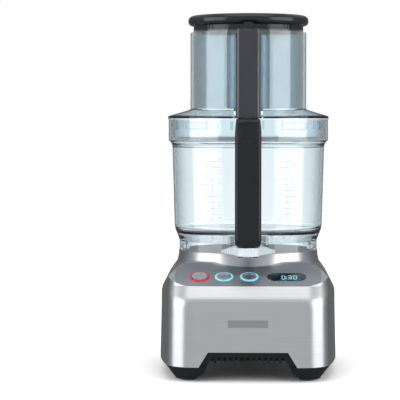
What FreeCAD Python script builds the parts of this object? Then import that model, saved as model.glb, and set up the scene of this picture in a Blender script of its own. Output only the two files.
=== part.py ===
import FreeCAD, Part
import math
import os
import Sketcher
from FreeCAD import Placement, Rotation, Vector

# Food processor.  Millimetres, +Z up, front at -Y, origin on the floor under the middle of the
# base.  The bowl, blade and motor share one upright axis, set back from the middle.

SIZES = {
    # whole machine
    "axis_y": 18,
    "half_width": 110,
    "half_depth": 133,
    "front_flat": 64,
    "corner_radius": 36,
    # motor base housing
    "sole_z": 18,
    "crease_z": 96,
    "crease_inset": 1.5,
    "deck_z": 138,
    "bevel_top_y": -118,
    "bevel_top_z": 113.6,
    "panel_tilt": 23,
    "shoulder_radius": 51,
    "shoulder_z": 90,
    "shoulder_climb": 15,
    "neck_radius": 87.6,
    "neck_foot_radius": 92.5,
    "neck_foot_z": 128,
    "neck_top_z": 148,
    "housing_wall": 2.5,
    "neck_bore": 82,
    "arch_top_z": 36,
    "arch_top_half": 47.6,
    "arch_foot_half": 58.7,
    # chassis and feet
    "leg_bottom_z": 2,
    "leg_inset": 13,
    "chassis_rim_z": 40,
    "chassis_floor_z": 28,
    "vent_z": 25,
    "vent_pitch": 6.9,
    "vent_width": 3.4,
    "foot_x": 77,
    "foot_y": 90,
    "foot_radius": 11,
    # control panel, measured across, up the slope, and out from its face
    "panel_mid_y": -96,
    "panel_half": 88,
    "panel_low": -22,
    "panel_high": 36,
    "panel_thick": 2,
    "power_x": -58.3,
    "start_x": -29,
    "pulse_x": 1.5,
    "power_ring": 12.3,
    "small_ring": 11.2,
    "ring_width": 2.4,
    "display_x": 46.5,
    "display_length": 47,
    "display_height": 20,
    "badge_z": 70,
    "badge_width": 47.8,
    "badge_height": 8.3,
    # motor, from the floor up
    "mount_z": 28,
    "lower_bracket_z": 34,
    "lower_bearing_z": 38,
    "stator_z": 54,
    "stator_height": 50,
    "stator_radius": 58,
    "stator_bore": 31,
    "rotor_radius": 30.4,
    "upper_bearing_z": 112,
    "upper_bracket_z": 120,
    "bearing_radius": 16,
    "bearing_height": 8,
    "bracket_radius": 62,
    "bracket_foot_radius": 75,
    "mount_x": 58,
    "mount_y": 38,
    "fan_z": 128,
    "fan_radius": 50,
    "shaft_radius": 6,
    "shaft_bottom_z": 28.5,
    "shaft_top_z": 222,
    "shaft_clearance": 0.05,
    # deck and bowl
    "seat_radius": 84,
    "seat_z": 142,
    "spigot_radius": 20,
    "spigot_bore": 17,
    "spigot_top_z": 166,
    "sleeve_radius": 23.1,
    "sleeve_bore": 20.2,
    "bowl_bottom_z": 148.3,
    "bowl_floor_z": 174,
    "bowl_floor_thick": 3,
    "skirt_radius": 87,
    "wall_foot_radius": 93.3,
    "wall_top_radius": 96,
    "wall_top_z": 277,
    "collar_radius": 100.8,
    "collar_bore": 98.4,
    "collar_z": 286,
    "bowl_rim_z": 312,
    "post_radius": 12.5,
    "post_bore": 9.5,
    "post_top_z": 214,
    # handle and its rod
    "handle_half": 15.75,
    "handle_front_y": -128,
    "grip_back_y": -104,
    "handle_split_y": -115,
    "handle_bottom_z": 159.5,
    "handle_top_z": 314,
    "bracket_bottom_z": 149.5,
    "fan_half": 33,
    "pin_y": -94,
    "rod_radius": 3.5,
    "plunger_y": -61,
    "plunger_radius": 2.5,
    # blade
    "hub_radius": 16.5,
    "hub_bottom_z": 177,
    "hub_top_z": 246,
    "lower_blade_z": 181,
    "upper_blade_z": 214,
    "blade_reach": 87,
    "blade_thick": 1.6,
    # lid and column
    "lid_skirt_radius": 97.9,
    "lid_skirt_bore": 95.4,
    "lid_skirt_z": 289.6,
    "lid_flange_z": 312.3,
    "lid_edge_z": 316.5,
    "lid_radius": 101.5,
    "chute_radius": 73.2,
    "chute_bore": 70,
    "chute_foot_z": 324.6,
    "chute_top_z": 421.4,
    "column_half": 14.9,
    "column_front_y": -104,
    "column_back_y": -62,
    "column_bottom_z": 315.2,
    "column_top_z": 420.5,
    # pushers
    "pusher_radius": 69.4,
    "pusher_wall": 2.4,
    "pusher_bottom_z": 323,
    "sleeve_top_z": 424,
    "rim_radius": 75.8,
    "rim_top_z": 442.6,
    "tube_radius": 31,
    "tube_bore": 28.8,
    "small_radius": 28.3,
    "small_bottom_z": 326,
    "small_cap_z": 434,
}


class Size:
    """A number together with the sheet formula that gives it."""

    def __init__(self, value, formula):
        self.value = value
        self.formula = formula

    def __add__(self, other):
        other = as_size(other)
        return Size(self.value + other.value, f"({self.formula} + {other.formula})")

    def __sub__(self, other):
        other = as_size(other)
        return Size(self.value - other.value, f"({self.formula} - {other.formula})")

    def __mul__(self, other):
        other = as_size(other)
        return Size(self.value * other.value, f"({self.formula} * {other.formula})")

    def __truediv__(self, other):
        other = as_size(other)
        return Size(self.value / other.value, f"({self.formula} / {other.formula})")

    def __radd__(self, other):
        return as_size(other) + self

    def __rsub__(self, other):
        return as_size(other) - self

    def __rmul__(self, other):
        return as_size(other) * self

    def __neg__(self):
        return 0 - self


def as_size(number):
    if isinstance(number, Size):
        return number
    return Size(float(number), f"({float(number)})")


doc = FreeCAD.newDocument("FoodProcessor")
sheet = doc.addObject("Spreadsheet::Sheet", "Sizes")
for row, (alias, number) in enumerate(SIZES.items(), start=1):
    sheet.set(f"A{row}", alias)
    sheet.set(f"B{row}", str(number))
    sheet.setAlias(f"B{row}", alias)
doc.recompute()


def size(alias):
    return Size(float(sheet.get(alias)), f"Sizes.{alias}")


def bind(feature, name, length):
    length = as_size(length)
    feature.setExpression(name, length.formula)


def place(feature, x=0, y=0, z=0):
    for axis, length in zip("xyz", (x, y, z)):
        bind(feature, f"Placement.Base.{axis}", length)
    return feature


# ---------------------------------------------------------------- sketches and PartDesign bodies

class Via:
    """A point that the edge between two corners passes through, which makes that edge an arc."""

    def __init__(self, x, y):
        self.at = (as_size(x), as_size(y))


def point_of(pair):
    return Vector(pair[0].value, pair[1].value, 0)


def fix_point(sketch, geometry, position, pair):
    for kind, length in zip(("DistanceX", "DistanceY"), pair):
        index = sketch.addConstraint(
            Sketcher.Constraint(kind, -1, 1, geometry, position, length.value))
        sketch.setExpression(f"Constraints[{index}]", length.formula)


def draw(sketch, *path):
    """Draw a closed outline whose corners, and arc mid points, are tied to the sheet."""
    corners = []
    for item in path:
        if isinstance(item, Via):
            corners[-1][1] = item.at
        else:
            corners.append([(as_size(item[0]), as_size(item[1])), None])
    starts, ends = [], []
    for index, (corner, via) in enumerate(corners):
        first = point_of(corner)
        last = point_of(corners[(index + 1) % len(corners)][0])
        if via is None:
            geometry = sketch.addGeometry(Part.LineSegment(first, last), False)
            starts.append((geometry, 1))
            ends.append((geometry, 2))
            continue
        middle = point_of(via)
        turns_left = (middle - first).cross(last - middle).z > 0
        if turns_left:
            geometry = sketch.addGeometry(Part.Arc(first, middle, last), False)
            starts.append((geometry, 1))
            ends.append((geometry, 2))
        else:
            geometry = sketch.addGeometry(Part.Arc(last, middle, first), False)
            starts.append((geometry, 2))
            ends.append((geometry, 1))
        mark = sketch.addGeometry(Part.Point(middle), True)
        fix_point(sketch, mark, 1, via)
        sketch.addConstraint(Sketcher.Constraint("PointOnObject", mark, 1, geometry))
    for index, (corner, via) in enumerate(corners):
        geometry, position = starts[index]
        fix_point(sketch, geometry, position, corner)
        before, before_position = ends[index - 1]
        sketch.addConstraint(
            Sketcher.Constraint("Coincident", before, before_position, geometry, position))
    return sketch


def new_body(label):
    body = doc.addObject("PartDesign::Body", label)
    body.Label = label
    return body


def new_sketch(body, name, plane, offset=0):
    sketch = body.newObject("Sketcher::SketchObject", f"{body.Name}_{name}")
    origin_plane = next(f for f in body.Origin.OriginFeatures if f.Role == plane)
    sketch.AttachmentSupport = [(origin_plane, "")]
    sketch.MapMode = "FlatFace"
    bind(sketch, "AttachmentOffset.Base.z", offset)
    return sketch


def pad(body, name, sketch, length, symmetric=False):
    feature = body.newObject("PartDesign::Pad", f"{body.Name}_{name}")
    feature.Profile = sketch
    feature.SideType = "Symmetric" if symmetric else "One side"
    bind(feature, "Length", length)
    return feature


def pocket(body, name, sketch, length=None, symmetric=False, reverse=False):
    feature = body.newObject("PartDesign::Pocket", f"{body.Name}_{name}")
    feature.Profile = sketch
    feature.SideType = "Symmetric" if symmetric else "One side"
    feature.Reversed = reverse
    if length is None:
        feature.Type = "ThroughAll"
    else:
        bind(feature, "Length", length)
    return feature


def loft(body, name, sketches):
    feature = body.newObject("PartDesign::AdditiveLoft", f"{body.Name}_{name}")
    feature.Profile = sketches[0]
    feature.Sections = sketches[1:]
    feature.Ruled = True
    return feature


def fillet(body, name, wanted, radius):
    """Round every edge of the body so far for which wanted(edge) is true."""
    doc.recompute()
    before = body.Tip
    edges = [f"Edge{i}" for i, edge in enumerate(before.Shape.Edges, start=1) if wanted(edge)]
    feature = body.newObject("PartDesign::Fillet", f"{body.Name}_{name}")
    feature.Base = (before, edges)
    bind(feature, "Radius", radius)
    doc.recompute()
    return feature


def root(length):
    return Size(math.sqrt(length.value), f"sqrt({length.formula})")


def plan_quarter(depth, inset):
    """One quarter of the base's plan: where its corner arc meets the bowed side, and their middles."""
    flat = size("front_flat")
    width = size("half_width") - inset
    corner = size("corner_radius") - inset
    centre_y = depth - corner
    reach = width - flat
    bow = (reach * reach + centre_y * centre_y - corner * corner) / (2 * (reach - corner))
    share = bow / (bow - corner)
    bow_centre = width - bow
    meet = (bow_centre + (flat - bow_centre) * share, centre_y * share)
    side_middle = (bow_centre + root(bow * bow - centre_y * centre_y / 4), centre_y / 2)
    diagonal = corner * math.sqrt(0.5)
    corner_middle = (flat + diagonal, centre_y + diagonal)
    return corner_middle, meet, side_middle


def plan_corners(inset, front_cut=0):
    """The base's plan pushed in by inset, its front by front_cut more: round corners, bowed sides."""
    flat = size("front_flat")
    width = size("half_width") - inset
    front = size("half_depth") - inset - front_cut
    back = size("half_depth") - inset
    (fcx, fcy), (fmx, fmy), (fsx, fsy) = plan_quarter(front, inset)
    (bcx, bcy), (bmx, bmy), (bsx, bsy) = plan_quarter(back, inset)
    return [
        (-flat, -front), (flat, -front), Via(fcx, -fcy), (fmx, -fmy), Via(fsx, -fsy),
        (width, 0), Via(bsx, bsy), (bmx, bmy), Via(bcx, bcy), (flat, back),
        (-flat, back), Via(-bcx, bcy), (-bmx, bmy), Via(-bsx, bsy),
        (-width, 0), Via(-fsx, -fsy), (-fmx, -fmy), Via(-fcx, -fcy),
    ]


def plan_sketch(body, name, height, inset, front_cut=0):
    return draw(new_sketch(body, name, "XY_Plane", height), *plan_corners(inset, front_cut))


def turn_about_edge(body, name, sketch, edge):
    feature = body.newObject("PartDesign::Revolution", f"{body.Name}_{name}")
    feature.Profile = sketch
    feature.ReferenceAxis = (sketch, [edge])
    return feature


def turned(label, *path):
    """A round piece on the bowl axis: path gives its section as (radius, height) corners."""
    body = new_body(label)
    section = draw(new_sketch(body, "section", "XZ_Plane"), *path)
    turn_about_edge(body, "turn", section, "V_Axis")
    return place(body, y=size("axis_y"))


# ---------------------------------------------------------------- primitives and booleans

def box(name, x, y, z):
    """A block between the two places given for each of x, y and z."""
    feature = doc.addObject("Part::Box", name)
    low, high = zip(*((as_size(a), as_size(b)) for a, b in (x, y, z)))
    for side, first, last in zip(("Length", "Width", "Height"), low, high):
        bind(feature, side, last - first)
    return place(feature, *low)


def rod(name, radius, height, x=0, y=0, z=0):
    feature = doc.addObject("Part::Cylinder", name)
    bind(feature, "Radius", radius)
    bind(feature, "Height", height)
    return place(feature, x, y, z)


def along_y(name, radius, x, y, z):
    """A cylinder that runs from y[0] to y[1]."""
    feature = doc.addObject("Part::Cylinder", name)
    feature.Placement = Placement(Vector(), Rotation(Vector(1, 0, 0), -90))
    bind(feature, "Radius", radius)
    bind(feature, "Height", as_size(y[1]) - y[0])
    return place(feature, x, y[0], z)


def cut(name, base, *tools):
    feature = doc.addObject("Part::Cut", name)
    feature.Base = base
    feature.Tool = tools[0] if len(tools) == 1 else fuse(f"{name}_tools", *tools)
    return feature


def fuse(name, *solids):
    feature = doc.addObject("Part::MultiFuse", name)
    feature.Shapes = list(solids)
    return feature


def common(name, *solids):
    feature = doc.addObject("Part::MultiCommon", name)
    feature.Shapes = list(solids)
    return feature


def group(name, solids):
    """Several separate solids that are one node."""
    feature = doc.addObject("Part::Compound", name)
    feature.Links = solids
    return feature


def ring(name, radius, bore, height, x=0, y=0, z=0):
    return cut(name, rod(f"{name}_outside", radius, height, x, y, z),
               rod(f"{name}_bore", bore, height, x, y, z))


def on_axis_rod(name, radius, bottom, top):
    return rod(name, radius, as_size(top) - bottom, y=size("axis_y"), z=bottom)


def on_axis_ring(name, radius, bore, bottom, top):
    return ring(name, radius, bore, as_size(top) - bottom, y=size("axis_y"), z=bottom)


def corners_of(reach_x, reach_y, middle_y=0):
    """The four places at plus and minus reach_x and reach_y."""
    return [(sx * reach_x, middle_y + sy * reach_y) for sx in (-1, 1) for sy in (-1, 1)]


def mount_places():
    return corners_of(size("mount_x"), size("mount_y"), size("axis_y"))


def screw(name, x, y, z, head_radius, head_height, shank_radius, length):
    """A screw standing on its head, with its shank up."""
    head = rod(f"{name}_head", head_radius, head_height, x, y, z)
    shank = rod(f"{name}_shank", shank_radius, length, x, y, z + head_height)
    return fuse(name, head, shank)


def spring(name, radius, wire, turns, x, y, bottom, top):
    """A coil spring standing on bottom, built where it works."""
    height = as_size(top) - bottom - 2 * wire
    path = doc.addObject("Part::Helix", f"{name}_path")
    bind(path, "Radius", radius)
    bind(path, "Height", height)
    bind(path, "Pitch", height / turns)
    section = doc.addObject("Part::Circle", f"{name}_wire")
    bind(section, "Radius", wire)
    section.Placement = Placement(Vector(), Rotation(Vector(1, 0, 0), 90))
    bind(section, "Placement.Base.x", radius)
    coil = doc.addObject("Part::Sweep", name)
    coil.Sections = [section]
    coil.Spine = (path, [])
    coil.Solid = True
    coil.Frenet = True
    return place(coil, x, y, as_size(bottom) + wire)


# ---------------------------------------------------------------- the raked panel's own frame

PANEL_TURN = Rotation(Vector(1, 0, 0), SIZES["panel_tilt"])
TILT_SINE = Size(math.sin(math.radians(SIZES["panel_tilt"])), "sin(Sizes.panel_tilt * 1 deg)")
TILT_COSINE = Size(math.cos(math.radians(SIZES["panel_tilt"])), "cos(Sizes.panel_tilt * 1 deg)")


def panel_z(y):
    """Height of the raked panel at a place y."""
    return size("bevel_top_z") + (y - size("bevel_top_y")) * (TILT_SINE / TILT_COSINE)


def on_panel(feature, across=0, up=0, out=0):
    """Lay a feature on the panel: across it, up its slope, and out from its face."""
    up, out = as_size(up), as_size(out)
    middle = size("panel_mid_y")
    feature.Placement = Placement(Vector(), PANEL_TURN)
    return place(feature, across,
                 middle + up * TILT_COSINE - out * TILT_SINE,
                 panel_z(middle) + up * TILT_SINE + out * TILT_COSINE)


def panel_rod(name, radius, across, out):
    feature = rod(name, radius, as_size(out[1]) - out[0])
    return on_panel(feature, across, 0, out[0])


def panel_box(name, across, up, out):
    feature = doc.addObject("Part::Box", name)
    for side, (low, high) in zip(("Length", "Width", "Height"), (across, up, out)):
        bind(feature, side, as_size(high) - low)
    return on_panel(feature, across[0], up[0], out[0])


def panel_outline(sketch, grow=0):
    """The panel: round lower corners, and a hollow upper edge that follows the neck."""
    half = size("panel_half") + grow
    low = size("panel_low") - grow
    high = size("panel_high") + grow
    corner = 18
    bend = corner * (1 - math.sqrt(0.5))
    hollow_half, hollow_dip = 50, 12.5
    top_half = half - 11
    side_top = high - 18
    return draw(
        sketch,
        (-half + corner, low), (half - corner, low), Via(half - bend, low + bend),
        (half, low + corner), (half, side_top), (top_half, high),
        (hollow_half + grow, high), Via(0, high - hollow_dip), (-hollow_half - grow, high),
        (-top_half, high), (-half, side_top), (-half, low + corner), Via(-half + bend, low + bend),
    )


def stadium(sketch, middle, length, height):
    """A slot-shaped outline with round ends."""
    straight = (length - height) / 2
    half = height / 2
    return draw(
        sketch,
        (middle - straight, -half), (middle + straight, -half),
        Via(middle + straight + half, 0),
        (middle + straight, half), (middle - straight, half),
        Via(middle - straight - half, 0),
    )


def panel_plate(name, grow, low, high):
    body = new_body(name)
    outline = panel_outline(new_sketch(body, "outline", "XY_Plane", low), grow)
    pad(body, "plate", outline, high - low)
    return on_panel(body)


def display_shape(name, shrink, low, high):
    body = new_body(name)
    sketch = new_sketch(body, "outline", "XY_Plane", low)
    stadium(sketch, size("display_x"), size("display_length") - 2 * shrink,
            size("display_height") - 2 * shrink)
    pad(body, "plate", sketch, high - low)
    return on_panel(body)


# ---------------------------------------------------------------- base

BOSS_X = 36
BOSS_Y = 120
GLAND_X = 56
GLAND_Z = 52


def housing_form(label, inset, sole_z, neck, neck_foot, neck_top):
    """The base's outer form, or with an inset the space inside it."""
    body = new_body(label)
    edge = size("crease_inset") + inset
    deck = size("deck_z") - inset
    brow_z = size("bevel_top_z") - inset
    bevel_run = size("half_depth") - size("crease_inset") + size("bevel_top_y")
    # the front's crease is a soft bend, made of narrow strips
    crease = size("crease_z")
    slope = math.atan(bevel_run.value / (size("bevel_top_z") - crease).value)
    bend_radius = 22
    bend_steps = 5
    bend_start = crease - bend_radius * math.tan(slope / 2)
    rings = [("sole", sole_z, inset, 0)]
    for step in range(bend_steps + 1):
        turn = slope * step / bend_steps
        height = bend_start + bend_radius * math.sin(turn)
        rings.append((f"bend_{step}", height, edge, bend_radius * (1 - math.cos(turn))))
    rings.append(("brow", brow_z, edge, bevel_run))
    for below, above in zip(rings, rings[1:]):
        sections = [plan_sketch(body, f"{name}_of_{above[0]}", *place_of)
                    for name, *place_of in (below, above)]
        loft(body, f"side_to_{above[0]}", sections)
    block = plan_sketch(body, "block", brow_z, edge, bevel_run)
    pad(body, "block_pad", block, deck - brow_z)
    # the raked panel
    far = size("half_depth") * 2
    brow_y = size("bevel_top_y") + inset
    rake_end = brow_y + 200
    rake = draw(
        new_sketch(body, "rake", "YZ_Plane"),
        (brow_y, panel_z(brow_y) - inset / TILT_COSINE),
        (rake_end, panel_z(rake_end) - inset / TILT_COSINE),
        (-far, panel_z(rake_end)),
        (-far, panel_z(brow_y) - inset / TILT_COSINE),
    )
    pocket(body, "rake_cut", rake, symmetric=True)
    # big round shoulders along both sides and across the back
    shoulder = size("shoulder_radius") - inset
    start_z = size("shoulder_z")
    bend = shoulder * (1 - math.sqrt(0.5))
    climb = size("shoulder_climb")
    run = shoulder - root(shoulder * shoulder - (deck - start_z) * (deck - start_z))
    over = deck + climb
    side = size("half_width") - edge
    back = size("half_depth") - edge
    for name, plane, sign, reach in (
        ("right", "XZ_Plane", 1, side), ("left", "XZ_Plane", -1, side), ("back", "YZ_Plane", 1, back),
    ):
        profile = draw(
            new_sketch(body, f"{name}_shoulder", plane),
            (sign * reach, start_z), Via(sign * (reach - bend), start_z + shoulder - bend),
            (sign * (reach - run), deck),
            (sign * (reach - run), over),
            (sign * (reach + climb), over),
            (sign * (reach + climb), start_z),
        )
        pocket(body, f"{name}_shoulder_cut", profile, symmetric=True)
    # the round neck that the bowl stands on
    axis = size("axis_y")
    section = draw(
        new_sketch(body, "neck", "YZ_Plane"),
        (axis, size("crease_z")), (axis - neck_foot, size("crease_z")),
        (axis - neck_foot, size("neck_foot_z")),
        Via(axis - neck - (neck_foot - neck) * 0.17, neck_top - 8), (axis - neck, neck_top),
        (axis, neck_top),
    )
    turn_about_edge(body, "neck_turn", section, "Edge5")
    return body


def arch_cutter(name, outline):
    """A tunnel from front to back under the base, from its right half's outline."""
    body = new_body(name)
    mirror = [(-x, z) for x, z in reversed(outline)]
    sketch = draw(new_sketch(body, "arch", "XZ_Plane"), *outline, *mirror)
    pad(body, "arch_pad", sketch, size("half_depth") * 2 + 10, symmetric=True)
    return body


def base_housing():
    wall = size("housing_wall")
    outside = housing_form("housing_outside", as_size(0), size("sole_z"), size("neck_radius"),
                           size("neck_foot_radius"), size("neck_top_z"))
    inside = housing_form("housing_inside", wall, size("sole_z") - 1, size("neck_bore"),
                          size("neck_foot_radius") - 7, size("seat_z") + 1)
    ledge = on_axis_rod("housing_ledge", size("seat_radius") + 0.2, size("seat_z"), 150)
    arch = arch_cutter("housing_arch", [
        (size("arch_foot_half") + 0.6, size("sole_z") - 1),
        (size("arch_top_half"), size("arch_top_z")),
    ])
    recess = panel_plate("panel_recess", 0.2, -size("panel_thick"), as_size(10))
    window = panel_box("panel_window", (-82, 82), (-17, 17), (-20, 5))
    badge = badge_block("badge_recess", 0.1)
    gland_hole = along_y("gland_hole", 7.1, GLAND_X, (118, 140), GLAND_Z)
    plunger_way = box("plunger_way", (-14.2, 14.2), (-66.3, -50), (112, size("seat_z") + 1))
    shell = cut("housing_shell", outside, inside, ledge, arch, recess, window, badge, gland_hole,
                plunger_way)
    bosses = []
    for index, (x, y) in enumerate(corners_of(BOSS_X, BOSS_Y)):
        outer = size("half_depth") - 2
        wall_y = (-outer, -BOSS_Y + 5) if y < 0 else (BOSS_Y - 5, outer)
        bosses.append(box(f"housing_boss_{index}", (x - 6, x + 6), wall_y, (40.5, 54)))
    holes = [rod(f"housing_boss_hole_{index}", 1.9, 11, x, y, 40)
             for index, (x, y) in enumerate(corners_of(BOSS_X, BOSS_Y))]
    return cut("base_housing", fuse("housing_with_bosses", shell, *bosses), *holes)


def badge_block(name, grow):
    """The blank badge, let into the sloping front face."""
    rise = size("badge_z") - size("sole_z")
    face_y = -size("half_depth") + size("crease_inset") * rise / (size("crease_z") - size("sole_z"))
    half = size("badge_width") / 2 + grow
    tall = size("badge_height") / 2 + grow
    depth = 0.9
    feature = box(name, (-half, half), (face_y - 0.25, face_y + depth), (-tall, tall))
    place(feature, -half, face_y - 0.25, size("badge_z") - tall)
    return feature


def badge_plate():
    return badge_block("badge_plate", 0)


def base_chassis():
    body = new_body("chassis_form")
    top = plan_sketch(body, "legs_top", size("sole_z"), 0.6)
    bottom = plan_sketch(body, "legs_bottom", size("leg_bottom_z"), size("leg_inset"))
    loft(body, "legs", [bottom, top])
    inset = size("housing_wall") + 1.2
    rim = plan_sketch(body, "rim", size("sole_z"), inset)
    pad(body, "rim_pad", rim, size("chassis_rim_z") - size("sole_z"))
    inside = plan_sketch(body, "inside", size("chassis_floor_z"), inset + 3.5)
    pocket(body, "pan", inside, size("chassis_rim_z") - size("chassis_floor_z"), reverse=True)
    arch = arch_cutter("chassis_arch", [
        (66.5, -1), (52.8, 10.7), (45.7, size("vent_z")),
    ])
    side_arch = box("chassis_side_arch", (-120, 120), (-60, 60), (-1, 13))
    pads = [rod(f"foot_hole_{i}", size("foot_radius") + 0.1, 5, x, y, 0)
            for i, (x, y) in enumerate(corners_of(size("foot_x"), size("foot_y")))]
    slots = []
    count = 13
    for index in range(count):
        middle = (index - (count - 1) / 2) * size("vent_pitch")
        half = size("vent_width") / 2
        slots.append(box(f"vent_{index}", (middle - half, middle + half),
                         (-size("half_depth"), -size("half_depth") + 10), (20, 29.5)))
    screws = [rod(f"chassis_hole_{i}", 2.1, 10, x, y, 20)
              for i, (x, y) in enumerate(corners_of(BOSS_X, BOSS_Y))]
    mounts = [rod(f"mount_hole_{i}", 2.1, 10, x, y, 22)
              for i, (x, y) in enumerate(mount_places())]
    return cut("base_chassis", body, arch, side_arch, *pads, *slots, *screws, *mounts)


def rubber_feet():
    return group("rubber_feet", [
        rod(f"foot_{i}", size("foot_radius"), 5, x, y, 0)
        for i, (x, y) in enumerate(corners_of(size("foot_x"), size("foot_y")))])


def chassis_screws():
    return group("chassis_screws", [
        screw(f"chassis_screw_{i}", x, y, 22, 4, 3, 1.8, 25)
        for i, (x, y) in enumerate(corners_of(BOSS_X, BOSS_Y))])


def cord_gland():
    body = along_y("gland_body", 7, GLAND_X, (122, 131.5), GLAND_Z)
    flange = along_y("gland_flange", 10, GLAND_X, (122, 128), GLAND_Z)
    bore = along_y("gland_bore", 3.2, GLAND_X, (120, 133), GLAND_Z)
    return cut("cord_gland", fuse("gland_solid", body, flange), bore)


# ---------------------------------------------------------------- control panel

CONTROLS = (
    ("power", "power_x", "power_ring"),
    ("start", "start_x", "small_ring"),
    ("pulse", "pulse_x", "small_ring"),
)
BOARD_OUT = -12
BOSS_PLACES = [(-74, -14), (-74, 14), (16, -14), (76, 14)]


def panel_post(name, radius, place_at, out):
    feature = rod(name, radius, as_size(out[1]) - out[0])
    return on_panel(feature, place_at[0], place_at[1], out[0])


def control_panel():
    thick = size("panel_thick")
    plate = panel_plate("panel_blank", 0, -thick, as_size(0))
    posts = [panel_post(f"panel_post_{i}", 3, at, (BOARD_OUT, -thick.value))
             for i, at in enumerate(BOSS_PLACES)]
    holes = [panel_rod(f"{name}_hole", size(ring_radius) + 0.1, size(x), (-5, 5))
             for name, x, ring_radius in CONTROLS]
    pilots = [panel_post(f"panel_pilot_{i}", 1.2, at, (BOARD_OUT - 1, -4))
              for i, at in enumerate(BOSS_PLACES)]
    window = display_shape("display_hole", as_size(-0.1), as_size(-5), as_size(5))
    return cut("control_panel", fuse("panel_solid", plate, *posts), window, *holes, *pilots)


def light_ring(name, control):
    _, x, radius = control
    outside = panel_rod(f"{name}_outside", size(radius), size(x), (-1.8, 0.4))
    inside = panel_rod(f"{name}_inside", size(radius) - size("ring_width"), size(x), (-2, 1))
    return cut(name, outside, inside)


def button(control):
    name, x, radius = control
    bore = size(radius) - size("ring_width")
    cap = panel_rod(f"{name}_cap", bore - 0.3, size(x), (-3.6, 1.3))
    flange = panel_rod(f"{name}_flange", bore + 1.2, size(x), (-3.6, -2.2))
    stem = panel_rod(f"{name}_stem", 2, size(x), (-8, -3.6))
    solid = fuse(f"{name}_solid", cap, flange, stem)
    hollow = panel_rod(f"{name}_dish", bore - 2.5, size(x), (0.9, 2))
    return cut(f"{name}_button", solid, hollow)


def control_board():
    board = panel_box("board_sheet", (-80, 80), (-17, 17), (BOARD_OUT - 1.6, BOARD_OUT))
    switches = [panel_box(f"{name}_tact", (size(x) - 3, size(x) + 3), (-3, 3),
                          (BOARD_OUT, BOARD_OUT + 2.2)) for name, x, _ in CONTROLS]
    chip = panel_box("board_chip", (-12, 0), (-14, -6), (BOARD_OUT, BOARD_OUT + 1.5))
    plug = panel_box("board_plug", (-50, -36), (-15, -9), (BOARD_OUT, BOARD_OUT + 6))
    holes = [panel_post(f"board_hole_{i}", 1.2, at, (BOARD_OUT - 3, BOARD_OUT + 1))
             for i, at in enumerate(BOSS_PLACES)]
    return cut("control_board", fuse("board_solid", board, *switches, chip, plug), *holes)


def board_screws():
    screws = []
    for index, at in enumerate(BOSS_PLACES):
        head = panel_post(f"board_screw_head_{index}", 2.6, at, (BOARD_OUT - 3.2, BOARD_OUT - 1.6))
        shank = panel_post(f"board_screw_shank_{index}", 1.1, at, (BOARD_OUT - 1.6, -5))
        screws.append(fuse(f"board_screw_{index}", head, shank))
    return group("board_screws", screws)


def display_lens():
    return display_shape("display_lens", as_size(0), as_size(-1.4), as_size(0.2))


def lcd_module():
    middle = size("display_x")
    return panel_box("lcd_module", (middle - 17, middle + 17), (-6.5, 6.5), (-6, -1.6))


# ---------------------------------------------------------------- motor

def motor_stator():
    top = size("stator_z") + size("stator_height")
    return on_axis_ring("motor_stator", size("stator_radius"), size("stator_bore"),
                        size("stator_z"), top)


def motor_windings():
    top = size("stator_z") + size("stator_height")
    return group("motor_windings", [
        on_axis_ring("winding_low", 54, 34, size("stator_z") - 12, size("stator_z")),
        on_axis_ring("winding_high", 54, 34, top, top + 8)])


def motor_rotor():
    core = on_axis_rod("rotor_core", size("rotor_radius"), size("stator_z") - 2,
                       size("stator_z") + size("stator_height") + 2)
    bore = on_axis_rod("rotor_bore", size("shaft_radius"), 40, 110)
    return cut("motor_rotor", core, bore)


def drive_shaft():
    return on_axis_rod("drive_shaft", size("shaft_radius"), size("shaft_bottom_z"),
                       size("shaft_top_z"))


def motor_bearings():
    bore = size("shaft_radius") + size("shaft_clearance")
    rings = []
    for name in ("lower_bearing", "upper_bearing"):
        bottom = size(f"{name}_z")
        rings.append(on_axis_ring(name, size("bearing_radius"), bore, bottom,
                                  bottom + size("bearing_height")))
    return group("motor_bearings", rings)


def motor_lower_bracket():
    bottom, floor = size("lower_bracket_z"), size("lower_bearing_z")
    plate = on_axis_rod("lower_plate", size("bracket_foot_radius"), bottom, floor)
    cup = on_axis_ring("lower_cup", size("bracket_radius"), size("stator_radius"), floor, 64)
    boss = on_axis_ring("lower_boss", size("bearing_radius") + 4, size("bearing_radius"),
                        floor, floor + size("bearing_height"))
    hole = on_axis_rod("lower_hole", size("shaft_radius") + 2, 30, 39)
    holes = [rod(f"lower_screw_hole_{i}", 2.2, 6, x, y, 33)
             for i, (x, y) in enumerate(mount_places())]
    return cut("motor_lower_bracket", fuse("lower_solid", plate, cup, boss), hole, *holes)


def motor_upper_bracket():
    roof = size("upper_bracket_z")
    plate = on_axis_rod("upper_plate", size("bracket_radius"), roof, roof + 4)
    cup = on_axis_ring("upper_cup", size("bracket_radius"), size("stator_radius"), 92, roof)
    boss = on_axis_ring("upper_boss", size("bearing_radius") + 4, size("bearing_radius"),
                        size("upper_bearing_z"), roof)
    hole = on_axis_rod("upper_hole", size("shaft_radius") + 2, 119, 126)
    return cut("motor_upper_bracket", fuse("upper_solid", plate, cup, boss), hole)


def motor_mounts():
    return group("motor_mounts", [
        ring(f"motor_mount_{i}", 8, 2.2, size("lower_bracket_z") - size("mount_z"),
             x, y, size("mount_z"))
        for i, (x, y) in enumerate(mount_places())])


def motor_screws():
    """Screws that hang from their heads on the lower bracket."""
    floor = size("lower_bearing_z")
    screws = []
    for index, (x, y) in enumerate(mount_places()):
        head = rod(f"motor_screw_head_{index}", 4, 3, x, y, floor)
        shank = rod(f"motor_screw_shank_{index}", 1.9, 14, x, y, floor - 14)
        screws.append(fuse(f"motor_screw_{index}", head, shank))
    return group("motor_screws", screws)


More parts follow.
